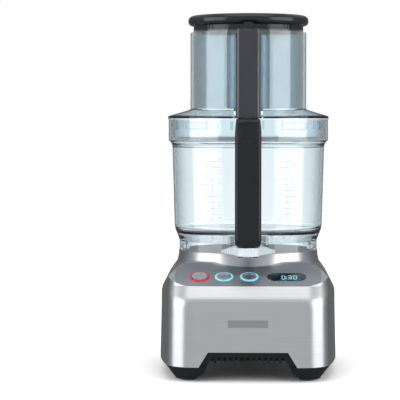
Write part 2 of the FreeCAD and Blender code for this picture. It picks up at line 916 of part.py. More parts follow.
def cooling_fan():
    bottom = size("fan_z")
    hub = on_axis_rod("fan_hub", 14, bottom, bottom + 9)
    disc = on_axis_rod("fan_disc", size("fan_radius"), bottom, bottom + 1.5)
    vanes = []
    count = 9
    for index in range(count):
        vane = box(f"fan_vane_{index}", (12, size("fan_radius") - 1), (-0.8, 0.8),
                   (bottom, bottom + 8))
        vane.Placement.Rotation = Rotation(Vector(0, 0, 1), 360 * index / count)
        angle = math.radians(360 * index / count)
        place(vane, 12 * math.cos(angle) + 0.8 * math.sin(angle),
              size("axis_y") + 12 * math.sin(angle) - 0.8 * math.cos(angle), bottom)
        vanes.append(vane)
    bore = on_axis_rod("fan_bore", size("shaft_radius"), 120, 140)
    return cut("cooling_fan", fuse("fan_solid", hub, disc, *vanes), bore)


def drive_coupling():
    """The six-sided driver on top of the shaft."""
    prism = doc.addObject("Part::Prism", "coupling_prism")
    prism.Polygon = 6
    bind(prism, "Circumradius", size("post_bore") - 1)
    bind(prism, "Height", 32)
    place(prism, y=size("axis_y"), z=size("shaft_top_z") - 20)
    bore = on_axis_rod("coupling_bore", size("shaft_radius"), 200, size("shaft_top_z"))
    return cut("drive_coupling", prism, bore)


def motor_capacitor():
    return rod("motor_capacitor", 16, 58, 78, 71, 28)


def power_board():
    board = box("power_sheet", (-45, 45), (108, 109.6), (32, 104))
    parts = [
        box("power_transformer", (-38, -12), (92, 108), (40, 66)),
        box("power_relay", (0, 18), (98, 108), (42, 58)),
        box("power_heatsink", (22, 40), (94, 108), (66, 98)),
    ]
    return fuse("power_board", board, *parts)


def interlock_switch():
    y = size("plunger_y")
    body = box("switch_body", (-10, 10), (y - 4, y + 4), (114, 126))
    button_top = rod("switch_button", 1.5, 2.6, 0, y, 126)
    return fuse("interlock_switch", body, button_top)


def switch_plunger():
    y = size("plunger_y")
    pin = rod("plunger_pin", size("plunger_radius"), 19.2, 0, y, 132)
    collar = rod("plunger_collar", 4.5, 1.6, 0, y, 137)
    return fuse("switch_plunger", pin, collar)


def plunger_spring():
    return spring("plunger_spring", 3.5, 0.4, 5, 0, size("plunger_y"), 126, 137)


# ---------------------------------------------------------------- bowl seat and bowl

def bowl_seat():
    bottom, top = size("seat_z"), size("neck_top_z")
    disc = on_axis_rod("seat_disc", size("seat_radius"), bottom, top)
    spigot = on_axis_rod("seat_spigot", size("spigot_radius"), bottom, size("spigot_top_z"))
    y = size("plunger_y")
    posts = [box(f"seat_post_{i}", (x - 1.5, x + 1.5), (y - 4, y + 4), (114, bottom))
             for i, x in enumerate((-11.6, 11.6))]
    solid = fuse("seat_solid", disc, spigot, *posts)
    bore = on_axis_rod("seat_bore", size("spigot_bore"), 130, 170)
    hole = rod("seat_plunger_hole", size("plunger_radius") + 0.3, 20, 0, y, 140)
    return cut("bowl_seat", solid, bore, hole)


def shaft_seal():
    return on_axis_ring("shaft_seal", size("spigot_bore"),
                        size("shaft_radius") + size("shaft_clearance"), 158, 164)


def bowl_hub_sleeve():
    return on_axis_ring("bowl_hub_sleeve", size("sleeve_radius"), size("sleeve_bore"),
                        size("bowl_bottom_z"), 170.6)


def bowl():
    floor = size("bowl_floor_z")
    under = floor - size("bowl_floor_thick")
    bottom = size("bowl_bottom_z")
    foot, top = size("wall_foot_radius"), size("wall_top_radius")
    wall = 2.9
    body = turned(
        "bowl_form",
        (size("skirt_radius"), bottom), (size("skirt_radius"), bottom + 11.7),
        (foot - 0.9, floor), (foot, floor + 6),
        (top, size("wall_top_z")), Via(top + 1.2, size("wall_top_z") + 5),
        (size("collar_radius"), size("collar_z")), (size("collar_radius"), size("bowl_rim_z")),
        (size("collar_bore"), size("bowl_rim_z")), (size("collar_bore"), size("collar_z")),
        (top - wall, size("collar_z")), (top - wall, size("wall_top_z")),
        (foot - wall, floor + 5), Via(foot - wall - 1.4, floor + 1.4), (foot - wall - 5, floor),
        (size("post_radius"), floor), (size("post_radius"), size("post_top_z")),
        (size("post_bore"), size("post_top_z")), (size("post_bore"), under),
        (size("sleeve_radius") + 0.3, under), (size("sleeve_radius") + 0.3, bottom + 2),
        (size("sleeve_radius") + 3, bottom + 2), (size("sleeve_radius") + 3, under),
        (size("skirt_radius") - 2.8, under), (size("skirt_radius") - 2.8, bottom),
    )
    lugs = []
    for index, angle in enumerate((-20, 20, 160, 200, 60, 120)):
        lug = box(f"bowl_lug_{index}", (0, 5), (-9, 9), (0, 5))
        lug.Placement.Rotation = Rotation(Vector(0, 0, 1), angle)
        turn = math.radians(angle)
        start = 80
        place(lug, start * math.cos(turn) + 9 * math.sin(turn),
              size("axis_y") + start * math.sin(turn) - 9 * math.cos(turn), bottom + 3)
        lugs.append(lug)
    ear = box("bowl_ear", (-8, 8), (-89.2, -81), (290, 304))
    solid = fuse("bowl_solid", body, ear, *lugs)
    slot = box("bowl_toe_slot", (-6, 6), (-72, -60), (140, 157))
    return cut("bowl", solid, slot)


# ---------------------------------------------------------------- handle

def handle_form():
    """Both halves of the handle in one: grip, round foot, and the block that meets the collar."""
    body = new_body("handle_form")
    front, back = size("handle_front_y"), size("grip_back_y")
    low, high = size("handle_bottom_z"), size("handle_top_z")
    outline = draw(
        new_sketch(body, "side", "YZ_Plane"),
        (-79, high), (front + 9, high), Via(front + 2.5, high - 2.5), (front, high - 9),
        (front, low + 12), Via(front + 3.5, low + 3.5), (front + 11, low),
        (back - 4, low), Via(back - 1.2, low + 1.2), (back, low + 4),
        (back, high - 46), Via(back + 5, high - 34), (back + 16, high - 29),
        (-79, high - 29),
    )
    half = size("handle_half")
    pad(body, "block", outline, half * 2, symmetric=True)

    def runs_long(edge):
        box_of = edge.BoundBox
        return abs(abs(edge.CenterOfMass.x) - SIZES["handle_half"]) < 0.01 and box_of.YMax < -79.5

    fillet(body, "soften", runs_long, 5)
    corner = 8
    bend = corner * (1 - math.sqrt(0.5))
    for side, sign in (("right", 1), ("left", -1)):
        profile = draw(
            new_sketch(body, f"{side}_waist", "XZ_Plane"),
            (sign * (half - corner), low), Via(sign * (half - bend), low + bend),
            (sign * half, low + corner), (sign * half, high - 22),
            Via(sign * (half - 0.45), high - 11), (sign * (half - 1.8), high),
            (sign * (half + 5), high), (sign * (half + 5), low),
        )
        pocket(body, f"{side}_waist_cut", profile, symmetric=True)
    return body


def handle_cavity():
    """The way that the interlock rod moves in."""
    y = size("pin_y")
    split = size("handle_split_y")
    return fuse(
        "handle_cavity",
        rod("cavity_pin", size("rod_radius") + 0.9, 30, 0, y, 298),
        box("cavity_web", (-4.6, 4.6), (split - 5, y + 5), (290, 303)),
        rod("cavity_rod", size("rod_radius") + 0.8, 150, 0, split, 150),
        rod("cavity_spring", 6, 14, 0, split, 276),
        box("cavity_ear", (-8.3, 8.3), (-92.3, -78), (289.7, 304.3)),
        on_axis_rod("cavity_collar", size("collar_radius") + 0.2, 270, 330),
    )


def handle_screw_places():
    return [(x, z) for x in (-9.5, 9.5) for z in (200, 250)]


def handle_pilots(shank):
    cover = [along_y(f"handle_pilot_{i}_{x}", shank, x, (-124, -100), z)
             for i, (x, z) in enumerate(handle_screw_places())]
    foot = [rod(f"foot_pilot_{x}", shank, 24, x, -110, 148) for x in (-9, 9)]
    heads = [along_y(f"handle_sink_{i}", 3, x, (-106, -100), z)
             for i, (x, z) in enumerate(handle_screw_places())]
    return fuse("handle_pilots", *cover, *foot, *heads)


def handle_halves():
    dish_radius = 32
    dish = doc.addObject("Part::Sphere", "thumb_dish")
    bind(dish, "Radius", dish_radius)
    place(dish, y=size("handle_front_y") + 3.6 - dish_radius, z=size("handle_top_z") - 15)
    lid_way = on_axis_rod("handle_lid_way", size("lid_radius") + 0.5, size("lid_flange_z") - 0.4, 330)
    solid = cut("handle_solid", handle_form(), handle_cavity(), handle_pilots(1.6), dish, lid_way)
    split = size("handle_split_y")
    front_space = box("front_space", (-30, 30), (-140, split), (150, 330))
    back_space = box("back_space", (-30, 30), (split, -70), (150, 330))
    return [common("handle_front", solid, front_space), common("handle_back", solid, back_space)]


def handle_screws():
    screws = []
    for index, (x, z) in enumerate(handle_screw_places()):
        head = along_y(f"grip_screw_head_{index}", 2.8, x, (-106, -104.4), z)
        shank = along_y(f"grip_screw_shank_{index}", 1.5, x, (-122, -106), z)
        screws.append(fuse(f"grip_screw_{index}", head, shank))
    for x in (-9, 9):
        screws.append(screw(f"foot_screw_{x}", x, -110, size("bracket_bottom_z") - 2, 2.8, 2, 1.5, 20))
    return group("handle_screws", screws)


def handle_bracket():
    body = new_body("bracket_form")
    half = size("fan_half")
    outline = draw(
        new_sketch(body, "fan", "XY_Plane", size("bracket_bottom_z")),
        (-half, -58), (half, -58), (half, -64), Via(22, -88), (14, -104),
        (14, -112), Via(0, -124), (-14, -112), (-14, -104), Via(-22, -88), (-half, -64),
    )
    pad(body, "plate", outline, size("handle_bottom_z") - size("bracket_bottom_z"))
    skirt = on_axis_rod("bracket_skirt", size("skirt_radius"), 140, 170)
    cone = doc.addObject("Part::Cone", "bracket_cone")
    start = size("bowl_bottom_z") + 11.7
    bind(cone, "Radius1", size("skirt_radius"))
    bind(cone, "Radius2", size("wall_foot_radius") - 0.9)
    bind(cone, "Height", size("bowl_floor_z") - start)
    place(cone, y=size("axis_y"), z=start)
    channel = box("bracket_channel", (-4.6, 4.6), (-119.5, -50), (140, 157))
    hole = rod("bracket_rod_hole", size("rod_radius") + 0.8, 30, 0, size("handle_split_y"), 140)
    pilots = [rod(f"bracket_pilot_{x}", 1.6, 20, x, -110, 145) for x in (-9, 9)]
    slopes = []
    bottom = size("bracket_bottom_z")
    for side, sign in (("right", 1), ("left", -1)):
        wedge = new_body(f"bracket_{side}_wedge")
        sketch = draw(
            new_sketch(wedge, "slope", "XZ_Plane"),
            (sign * 15.5, bottom + 9.5), (sign * (half + 1), bottom + 2.5),
            (sign * (half + 1), bottom + 20), (sign * 15.5, bottom + 20),
        )
        pad(wedge, "block", sketch, 300, symmetric=True)
        slopes.append(wedge)
    return cut("handle_bracket", body, skirt, cone, channel, hole, *slopes, *pilots)


def handle_rod():
    pin_y, split = size("pin_y"), size("handle_split_y")
    radius = size("rod_radius")
    pin = rod("rod_pin", radius, 18.3, 0, pin_y, 296)
    web = box("rod_web", (-4, 4), (split - 4, pin_y + 4), (294, 300))
    long = rod("rod_long", radius, 146, 0, split, 151.5)
    collar = rod("rod_collar", 5.4, 2, 0, split, 287)
    toe = box("rod_toe", (-4, 4), (split - 3.5, size("plunger_y") + 3.5), (151.5, 154.8))
    return fuse("handle_rod", pin, web, long, collar, toe)


def handle_spring():
    return spring("handle_spring", 4.7, 0.5, 4, 0, size("handle_split_y"), 276, 287)


# ---------------------------------------------------------------- blade

def hexagon(name, radius, bottom, height):
    prism = doc.addObject("Part::Prism", name)
    prism.Polygon = 6
    bind(prism, "Circumradius", radius)
    bind(prism, "Height", height)
    return place(prism, y=size("axis_y"), z=bottom)


def blade_hub():
    solid = on_axis_rod("hub_solid", size("hub_radius"), size("hub_bottom_z"), size("hub_top_z"))
    bore = on_axis_rod("hub_bore", size("post_radius") + 0.5, 170, size("post_top_z") + 2)
    socket = hexagon("hub_socket", size("post_bore") - 0.6, size("post_top_z"), 21)
    return cut("blade_hub", solid, bore, socket)


def blade_cap():
    bottom = size("hub_top_z")
    return turned(
        "blade_cap",
        (0.01, bottom), (size("hub_radius"), bottom), Via(11.5, bottom + 7), (0.01, bottom + 9),
    )


def blades():
    """Two curved blades, one low and one high, on opposite sides of the hub."""
    pair = []
    for name, way, bottom in (
        ("lower_blade", 1, size("lower_blade_z")), ("upper_blade", -1, size("upper_blade_z")),
    ):
        body = new_body(f"{name}_form")
        reach = size("blade_reach")
        outline = draw(
            new_sketch(body, "plan", "XY_Plane"),
            (-12, 8), (12, 8), Via(13.5, 45), (3, reach), (-3, reach - 5), Via(-3, 48), (-12, 18),
        )
        pad(body, "sheet", outline, size("blade_thick"))
        body.Placement = Placement(Vector(), Rotation(Vector(0, 0, 1), 0 if way > 0 else 180))
        place(body, y=size("axis_y"), z=bottom)
        pair.append(cut(name, body, on_axis_rod(f"{name}_hub", size("hub_radius"), 170, 250)))
    return group("blades", pair)


# ---------------------------------------------------------------- lid and column

def lid_seal():
    return on_axis_ring("lid_seal", size("collar_bore") - 0.3, size("lid_skirt_bore"),
                        size("collar_z") + 0.3, size("lid_skirt_z") - 0.3)


def lid():
    top = size("chute_top_z")
    foot = size("chute_foot_z")
    skirt_z, edge_z = size("lid_skirt_z"), size("lid_edge_z")
    outside = turned(
        "lid_outside",
        (0.01, skirt_z), (size("lid_skirt_radius"), skirt_z),
        (size("lid_skirt_radius"), size("lid_flange_z")), (size("lid_radius"), size("lid_flange_z")),
        (size("lid_radius"), edge_z), (size("chute_radius") + 1.3, foot),
        (size("chute_radius"), foot + 1.3), (size("chute_radius"), top), (0.01, top),
    )
    inside = turned(
        "lid_inside",
        (0.01, skirt_z - 1), (size("lid_skirt_bore"), skirt_z - 1),
        (size("lid_skirt_bore"), edge_z - 2.6), (size("chute_bore") + 4, foot - 3),
        (size("chute_bore"), foot - 3), (size("chute_bore"), top + 1), (0.01, top + 1),
    )
    webs = []
    for side in (-1, 1):
        for name, near, far, front in (("spine", 9, 11.5, -100), ("flange", 15.3, 17.5, -83)):
            low = 328.3 if name == "spine" else 318
            xs = (side * near, side * far) if side > 0 else (side * far, side * near)
            webs.append(box(f"lid_{name}_{side}", xs, (front, -50), (low, 417.8)))
    return cut("lid", fuse("lid_solid", outside, *webs), inside)


def column_cover():
    body = new_body("column_form")
    half = size("column_half")
    front, back = size("column_front_y"), size("column_back_y")
    round_off = 6
    bend = round_off * (1 - math.sqrt(0.5))
    outline = draw(
        new_sketch(body, "plan", "XY_Plane", size("column_bottom_z")),
        (half, back), (-half, back), (-half, front + round_off),
        Via(-half + bend, front + bend), (-half + round_off, front),
        (half - round_off, front), Via(half - bend, front + bend), (half, front + round_off),
    )
    pad(body, "block", outline, size("column_top_z") - size("column_bottom_z"))
    hollow = box("column_hollow", (-12.5, 12.5), (-101.6, -50), (328, 418))
    bore = rod("column_bore", size("rod_radius") + 0.5, 130, 0, size("pin_y"), 305)
    dome = doc.addObject("Part::Cone", "column_dome")
    bind(dome, "Radius1", size("lid_radius") + 0.2)
    bind(dome, "Radius2", size("chute_radius") + 1.5)
    bind(dome, "Height", size("chute_foot_z") - size("lid_edge_z"))
    place(dome, y=size("axis_y"), z=size("lid_edge_z") + 0.1)
    edge = on_axis_rod("column_lid_edge", size("lid_radius") + 0.2, 300, size("lid_edge_z") + 0.1)
    return cut("column_cover", body, hollow, bore, dome, edge)


def column_rod():
    y = size("pin_y")
    stem = rod("column_stem", size("rod_radius"), 106.2, 0, y, size("column_bottom_z") - 0.2)
    collar = rod("column_collar", 6.4, 2, 0, y, 350)
    return fuse("column_rod", stem, collar)


def column_spring():
    return spring("column_spring", 5.2, 0.6, 5, 0, size("pin_y"), 328, 350)


# ---------------------------------------------------------------- pushers

def pusher_sleeve():
    bottom, top = size("pusher_bottom_z"), size("sleeve_top_z")
    outer, wall = size("pusher_radius"), size("pusher_wall")
    return turned(
        "pusher_sleeve",
        (size("tube_radius"), bottom), (outer - 2, bottom), (outer, bottom + 2), (outer, top),
        (outer - wall, top), (outer - wall, bottom + 3), (size("tube_radius"), bottom + 3),
    )


def feed_tube():
    return on_axis_ring("feed_tube", size("tube_radius"), size("tube_bore"),
                        size("pusher_bottom_z"), size("rim_top_z") - 1)


def pusher_rim():
    outer, top = size("rim_radius"), size("rim_top_z")
    collar = size("pusher_radius") - 0.1
    lip = size("pusher_radius") - size("pusher_wall") - 0.2
    joint = size("sleeve_top_z")
    return turned(
        "pusher_rim",
        (size("tube_radius"), top), (outer - 6, top), Via(outer - 1.5, top - 2.2), (outer, top - 6.6),
        Via(outer - 1.5, top - 11), (outer - 5, top - 12.4), (collar, top - 13.2),
        (collar, joint), (lip, joint), (lip, joint - 3), (lip - 2.4, joint - 3),
        (lip - 2.4, top - 5.6), (size("tube_radius"), top - 5.6),
    )


def pusher_tab():
    y = size("pin_y")
    arm = box("tab_arm", (-5.5, 5.5), (y - 5, -48), (425, 429))
    foot = box("tab_foot", (-5.5, 5.5), (y - 5, y + 5), (421.7, 425))
    collar = on_axis_rod("tab_collar", size("pusher_radius") - 0.1, 420, 435)
    return cut("pusher_tab", fuse("tab_solid", arm, foot), collar)


def small_pusher():
    outer, bottom, top = size("small_radius"), size("small_bottom_z"), size("small_cap_z")
    return turned(
        "small_pusher",
        (0.01, bottom), (outer - 1.5, bottom), (outer, bottom + 1.5), (outer, top),
        (outer - 2, top), (outer - 2, bottom + 3), (0.01, bottom + 3),
    )


def small_pusher_cap():
    outer, bottom, top = size("small_radius"), size("small_cap_z"), size("rim_top_z") - 0.4
    return turned(
        "small_pusher_cap",
        (0.01, bottom), (outer, bottom), (outer, top - 1.5), Via(outer - 0.4, top - 0.4),
        (outer - 1.5, top), (outer - 5, top), (outer - 7, top - 3), (0.01, top - 3),
    )


# ---------------------------------------------------------------- build, check and write

def build():
    power, start, pulse = CONTROLS
    return [
        base_housing(), base_chassis(), rubber_feet(), chassis_screws(), cord_gland(),
        badge_plate(), control_panel(), light_ring("power_light_ring", power),
        group("start_pulse_light_rings", [light_ring("start_ring", start),
                                          light_ring("pulse_ring", pulse)]),
        button(power), button(start), button(pulse),
        control_board(), board_screws(), display_lens(), lcd_module(),
        motor_stator(), motor_windings(), motor_rotor(), drive_shaft(), motor_bearings(),
        motor_lower_bracket(), motor_upper_bracket(), motor_mounts(), motor_screws(),
        cooling_fan(), drive_coupling(), motor_capacitor(), power_board(),
        interlock_switch(), switch_plunger(), plunger_spring(),
        bowl_seat(), shaft_seal(), bowl_hub_sleeve(), bowl(),
        *handle_halves(), handle_screws(), handle_bracket(), handle_rod(), handle_spring(),
        blade_hub(), blade_cap(), blades(),
        lid_seal(), lid(), column_cover(), column_rod(), column_spring(),
        pusher_sleeve(), feed_tube(), pusher_rim(), pusher_tab(),
        small_pusher(), small_pusher_cap(),
    ]


def check(nodes):
    for feature in doc.Objects:
        if "Invalid" in feature.State or "Error" in feature.State:
            raise RuntimeError(f"{feature.Name} failed: {feature.State}")
    for node in nodes:
        if node.Shape.isNull() or not node.Shape.isValid() or not node.Shape.Solids:
            raise RuntimeError(f"{node.Label} has no sound solid")


def write(nodes):
    os.makedirs("parts", exist_ok=True)
    for node in nodes:
        node.Shape.exportStep(os.path.join("parts", f"{node.Label}.step"))
        print(f"{node.Label}: {len(node.Shape.Solids)} solids, {node.Shape.Volume:.0f} mm3")


nodes = build()
doc.recompute()
check(nodes)
write(nodes)
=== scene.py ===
"""The looks of the food processor: materials, small details, studio and camera.

Lengths are metres. x is the machine's right as seen from the front, -y is its front, z is up.
"""

from math import cos, pi, radians, sin

import bmesh
import bpy
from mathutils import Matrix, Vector


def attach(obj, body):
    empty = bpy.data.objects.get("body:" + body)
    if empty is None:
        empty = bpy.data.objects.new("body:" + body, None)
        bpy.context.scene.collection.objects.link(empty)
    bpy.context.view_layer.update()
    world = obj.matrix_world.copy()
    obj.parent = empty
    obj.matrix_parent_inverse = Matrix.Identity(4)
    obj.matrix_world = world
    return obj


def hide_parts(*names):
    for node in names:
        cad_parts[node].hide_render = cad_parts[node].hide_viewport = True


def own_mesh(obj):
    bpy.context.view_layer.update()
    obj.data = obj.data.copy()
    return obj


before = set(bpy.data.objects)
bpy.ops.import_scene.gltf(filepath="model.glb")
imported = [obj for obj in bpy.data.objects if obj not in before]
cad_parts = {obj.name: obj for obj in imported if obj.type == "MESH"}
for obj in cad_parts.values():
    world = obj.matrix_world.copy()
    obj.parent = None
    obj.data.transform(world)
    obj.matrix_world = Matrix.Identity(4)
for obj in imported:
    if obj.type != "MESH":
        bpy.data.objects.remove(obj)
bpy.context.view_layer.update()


# ---- Materials ---------------------------------------------------------------------------

class Finish:
    """One material: a Principled shader, and the noises that vary it over the surface."""

    def __init__(self, name, color, roughness, **settings):
        self.material = bpy.data.materials.new(name)
        self.material.use_nodes = True
        self.tree = self.material.node_tree
        self.shader = self.tree.nodes["Principled BSDF"]
        self.color = color
        self.roughness = roughness
        self.set("Base Color", (*color, 1.0))
        self.set("Roughness", roughness)
        for label, value in settings.items():
            self.set(label.replace("_", " ").title().replace("Ior", "IOR"), value)

    def set(self, socket, value):
        self.shader.inputs[socket].default_value = value

    def node(self, kind, **inputs):
        node = self.tree.nodes.new(kind)
        for label, value in inputs.items():
            socket = node.inputs[label]
            if isinstance(value, bpy.types.NodeSocket):
                self.tree.links.new(value, socket)
            else:
                socket.default_value = value
        return node

    def noise(self, scale, detail=2.0):
        """Noise about 0.5, with that many blotches per metre along x, y and z."""
        place = self.node("ShaderNodeTexCoord").outputs["Object"]
        stretched = self.node("ShaderNodeMapping", Vector=place, Scale=scale)
        texture = self.node("ShaderNodeTexNoise", Vector=stretched.outputs["Vector"],
                            Scale=1.0, Detail=detail)
        return texture.outputs["Fac"]

    def spread(self, value, low, high, start=0.3, end=0.7):
        """The value's part from start to end, a noise's middle, spread over low to high."""
        node = self.tree.nodes.new("ShaderNodeMapRange")
        self.tree.links.new(value, node.inputs["Value"])
        for label, number in (("From Min", start), ("From Max", end), ("To Min", low), ("To Max", high)):
            node.inputs[label].default_value = number
        return node.outputs["Result"]

    def blend_colors(self, factor, low_color, high_color):
        """The base colour runs from the low to the high colour with the factor."""
        node = self.tree.nodes.new("ShaderNodeMix")
        node.data_type = "RGBA"
        node.inputs[0].default_value = 0.0
        self.tree.links.new(factor, node.inputs[0])
        low, high = (s for s in node.inputs if s.type == "RGBA")
        low.default_value = (*low_color, 1.0)
        high.default_value = (*high_color, 1.0)
        result = next(s for s in node.outputs if s.type == "RGBA")
        self.tree.links.new(result, self.shader.inputs["Base Color"])

    def shade(self, value, amount):
        """Lets the colour run from darker to lighter by that share."""
        darker = [part * (1 - amount) for part in self.color]
        lighter = [min(1.0, part * (1 + amount)) for part in self.color]
        self.blend_colors(self.spread(value, 0.0, 1.0), darker, lighter)

    def polish(self, value, amount):
        """Lets the roughness run from lower to higher by that share."""
        low, high = self.roughness * (1 - amount), self.roughness * (1 + amount)
        self.tree.links.new(self.spread(value, low, high), self.shader.inputs["Roughness"])

    def relief(self, value, depth):
        """A bump that deep."""
        node = self.tree.nodes.new("ShaderNodeBump")
        node.inputs["Strength"].default_value = 1.0
        node.inputs["Distance"].default_value = depth
        self.tree.links.new(value, node.inputs["Height"])
        self.tree.links.new(node.outputs["Normal"], self.shader.inputs["Normal"])


def even(blotches):
    return (blotches, blotches, blotches)


def brushed(name, color, roughness, across=1400):
    """Steel with level brush lines, that many to the metre. The relief is shallow and broad."""
    finish = Finish(name, color, roughness, metallic=1.0, anisotropic=0.55, anisotropic_rotation=0.25)
    lines = finish.noise((12, 12, across), detail=2.0)
    finish.shade(lines, 0.035)
    finish.polish(finish.noise(even(18)), 0.10)
    finish.relief(finish.noise((6, 6, 60)), 0.000002)
    around = finish.tree.nodes.new("ShaderNodeTangent")
    around.direction_type = "RADIAL"
    around.axis = "Z"
    finish.tree.links.new(around.outputs["Tangent"], finish.shader.inputs["Tangent"])
    return finish.material


def metal(name, color, roughness, grain=(500, 500, 500), depth=0.000001):
    """Plain metal: cast, plated, drawn or turned, by the shape of its grain."""
    finish = Finish(name, color, roughness, metallic=1.0)
    surface = finish.noise(grain, detail=3.0)
    finish.shade(surface, 0.10)
    finish.polish(finish.noise(even(60)), 0.25)
    finish.relief(surface, depth)
    return finish.material


def moulded(name, color, roughness, grain=1200, depth=0.000003, **settings):
    """Plastic with a fine spark texture and a slightly uneven sheen."""
    finish = Finish(name, color, roughness, **settings)
    finish.shade(finish.noise(even(45)), 0.10)
    finish.polish(finish.noise(even(90), detail=4.0), 0.14)
    finish.relief(finish.noise(even(grain)), depth)
    return finish.material


def clear(name, color, edge_tint_and_shade, roughness):
    """Clear plastic with moulding ripples. Where the eye looks along the wall, its colour runs to the edge
    colour. That is partly the deeper tint of a longer path through the plastic and partly painted shade for
    the dark edges that refraction of the room would give.
    """
    finish = Finish(name, color, roughness, transmission_weight=1.0, ior=1.49)
    # Painted shade: towards grazing view the base colour darkens to the edge colour, standing in partly for
    # the dark refracted room at the walls' edges.
    glance = finish.node("ShaderNodeLayerWeight", Blend=0.35)
    edge = finish.spread(glance.outputs["Facing"], 0.0, 1.0, 0.22, 0.85)
    finish.blend_colors(edge, color, edge_tint_and_shade)
    finish.polish(finish.noise(even(70)), 0.4)
    finish.relief(finish.noise((30, 30, 9)), 0.00006)
    return finish.material


def lit(name, color, strength):
    """A part that glows evenly from the lamps behind it."""
    finish = Finish(name, color, 0.3, emission_color=(*color, 1.0), emission_strength=strength)
    finish.shade(finish.noise(even(300)), 0.08)
    finish.polish(finish.noise(even(500)), 0.2)
    finish.relief(finish.noise(even(2600)), 0.000006)
    return finish.material

# The record's slots.
finishes = {
    "brushed_metal": brushed("brushed_metal", (0.56, 0.57, 0.58), 0.33),
    "panel_metal": brushed("panel_metal", (0.42, 0.44, 0.46), 0.40, across=2000),
    "badge_metal": brushed("badge_metal", (0.38, 0.39, 0.40), 0.36, across=2400),
    "button_silver": metal("button_silver", (0.62, 0.63, 0.65), 0.32, even(300)),
    # Near-black screw steel: painted shade, darkening the screws that sit in the shaded hollow under the
    # base.
    "screw_steel": metal("screw_steel", (0.07, 0.07, 0.075), 0.45),
    "bright_steel": metal("bright_steel", (0.72, 0.72, 0.73), 0.16, (300, 300, 3000)),
    "blade_steel": metal("blade_steel", (0.70, 0.70, 0.71), 0.20, (150, 2500, 2500)),
    "motor_steel": metal("motor_steel", (0.33, 0.33, 0.34), 0.42, (40, 40, 2000), 0.00005),
    "cast_aluminium": metal("cast_aluminium", (0.56, 0.56, 0.57), 0.50, even(700), 0.00003),
    "capacitor_can": metal("capacitor_can", (0.64, 0.64, 0.66), 0.30, (200, 200, 1200)),
    "copper_winding": metal("copper_winding", (0.62, 0.27, 0.12), 0.30, (30, 30, 1300), 0.0001),
    "black_plastic": moulded("black_plastic", (0.007, 0.008, 0.009), 0.50, specular_ior_level=0.2),
    "handle_black": moulded("handle_black", (0.007, 0.009, 0.011), 0.32, specular_ior_level=0.27),
    "column_gloss": moulded("column_gloss", (0.016, 0.017, 0.023), 0.18, 500, 0.000001, ior=1.6),
    "black_gloss": moulded("black_gloss", (0.006, 0.007, 0.008), 0.18, 700, 0.000001),
    "grey_plastic": moulded("grey_plastic", (0.22, 0.23, 0.25), 0.48),
    "pale_plastic": moulded("pale_plastic", (0.66, 0.72, 0.77), 0.25, 150, 0.000002, transmission_weight=0.3),
    "circuit_board": moulded("circuit_board", (0.03, 0.17, 0.07), 0.36, 400, 0.00004),
    "black_rubber": moulded("black_rubber", (0.012, 0.012, 0.013), 0.72, specular_ior_level=0.2),
    "seal_rubber": moulded("seal_rubber", (0.40, 0.43, 0.46), 0.55),
    # Each clear finish's second colour is its edge colour: partly deeper tint, partly painted shade on the
    # edges.
    "clear_plastic": clear("clear_plastic", (0.895, 0.95, 0.972), (0.06, 0.15, 0.20), 0.03),
    "smoke_plastic": clear("smoke_plastic", (0.53, 0.61, 0.645), (0.06, 0.12, 0.14), 0.07),
    "display_glass": clear("display_glass", (0.24, 0.28, 0.31), (0.05, 0.06, 0.07), 0.06),
    "display_lit": lit("display_lit", (0.02, 0.10, 0.15), 0.5),
    "red_ring": lit("red_ring", (0.50, 0.012, 0.035), 0.10),
    "cyan_ring": lit("cyan_ring", (0.22, 0.62, 0.76), 0.25),
}

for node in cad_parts.values():
    for place in node.material_slots:
        place.material = finishes[place.material.name]
# These two are clearer than the pusher they stand in.
for name in ("feed_tube", "small_pusher"):
    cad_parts[name].material_slots[0].material = finishes["clear_plastic"]


# ---- Small details that ride on the CAD pieces -------------------------------------------

AXIS = Vector((0.0, 0.018, 0.0))   # the bowl's upright axis


def piece(name, mesh, body, slot, material=None):
    data = bpy.data.meshes.new(name)
    bmesh.ops.remove_doubles(mesh, verts=mesh.verts, dist=1e-7)
    bmesh.ops.recalc_face_normals(mesh, faces=mesh.faces)
    mesh.to_mesh(data)
    mesh.free()
    data.materials.append(material or finishes[slot])
    made = bpy.data.objects.new(name, data)
    bpy.context.collection.objects.link(made)
    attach(made, body)


def around(angle, height, radius):
    """A point round the bowl's axis. The angle is in degrees to the right of straight in front."""
    turn = radians(angle)
    return AXIS + Vector((radius * sin(turn), -radius * cos(turn), height))


def prism(mesh, outline, low, high, place):
    """A closed block: the outline's (u, v) points at two depths, put in space by place(u, v, depth)."""
    rings = [[mesh.verts.new(place(u, v, depth)) for u, v in outline] for depth in (low, high)]
    mesh.faces.new(rings[0][::-1])
    mesh.faces.new(rings[1])
    for index in range(len(outline)):
        after = (index + 1) % len(outline)
        mesh.faces.new((rings[0][index], rings[0][after], rings[1][after], rings[1][index]))


def strip(u_low, u_high, v_low, v_high, steps=1):
    """A rectangle's corners, its level sides divided so that it can bend round a curve."""
    across = [u_low + (u_high - u_low) * step / steps for step in range(steps + 1)]
    return [(u, v_low) for u in across] + [(u, v_high) for u in reversed(across)]


WALL_FOOT = (0.180, 0.0933)        # height and radius at the foot of the bowl's wall
WALL_TOP = (0.277, 0.0960)
INK = 0.00012                      # how thick the print is
INK_DEPTHS = (INK / 2, INK * 1.5)
LINE = 0.0005                      # a printed line's width
TICK_REACH = 8.2                   # degrees from the scale's middle to a tick's end
CUPS_AT, CUPS_SIZE = 5.4, 0.0044   # degrees out from the middle, and the height of the numbers
ML_AT, ML_SIZE = 5.0, 0.0040
TEXT_RISE = 0.42                   # how far a number stands above its tick, as a share of the pitch
ML_PER_TICK = 250


def on_wall(angle, height, depth):
    share = (height - WALL_FOOT[0]) / (WALL_TOP[0] - WALL_FOOT[0])
    return around(angle, height, WALL_FOOT[1] + share * (WALL_TOP[1] - WALL_FOOT[1]) + depth)


